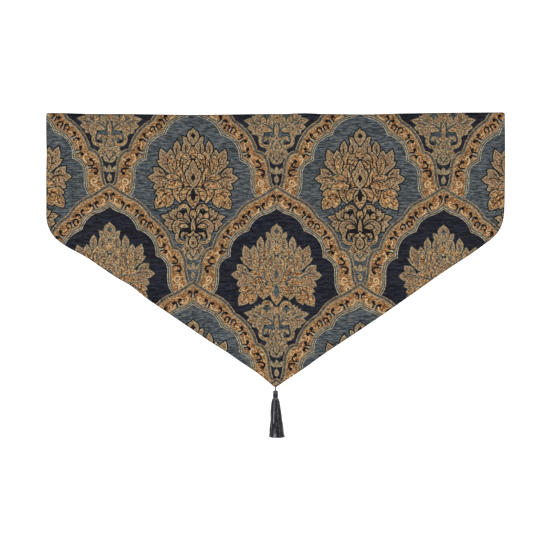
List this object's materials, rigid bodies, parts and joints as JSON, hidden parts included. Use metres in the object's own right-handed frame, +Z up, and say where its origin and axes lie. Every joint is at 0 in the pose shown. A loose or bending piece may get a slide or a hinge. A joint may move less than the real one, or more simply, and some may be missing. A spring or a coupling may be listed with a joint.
{
  "type": "ascot valance",
  "caption": "Flat window valance panel with a straight top, rounded shoulders and a pointed hem, in patterned woven cloth, with a tassel on a short cord at its tip.",
  "frame": {"origin": "middle of the panel's top edge, halfway through the cloth", "axes": "+X along the top edge to the viewer's right, +Z up, and the patterned face looks along -Y"},
  "size_m": [1.2202, 0.0392, 0.8626],
  "materials": {
    "jacquard": "chenille jacquard, navy and slate-blue grounds with tan and gold figures",
    "cord_yarn": "twisted slate-grey rayon cord",
    "tassel_yarn": "charcoal rayon yarn with a soft sheen",
    "binding_yarn": "wound deep navy yarn"
  },
  "bodies": {
    "root": {"panel": "jacquard", "tassel_cord": "cord_yarn", "tassel": "tassel_yarn", "tassel_binding": "binding_yarn"}
  },
  "joints": []
}
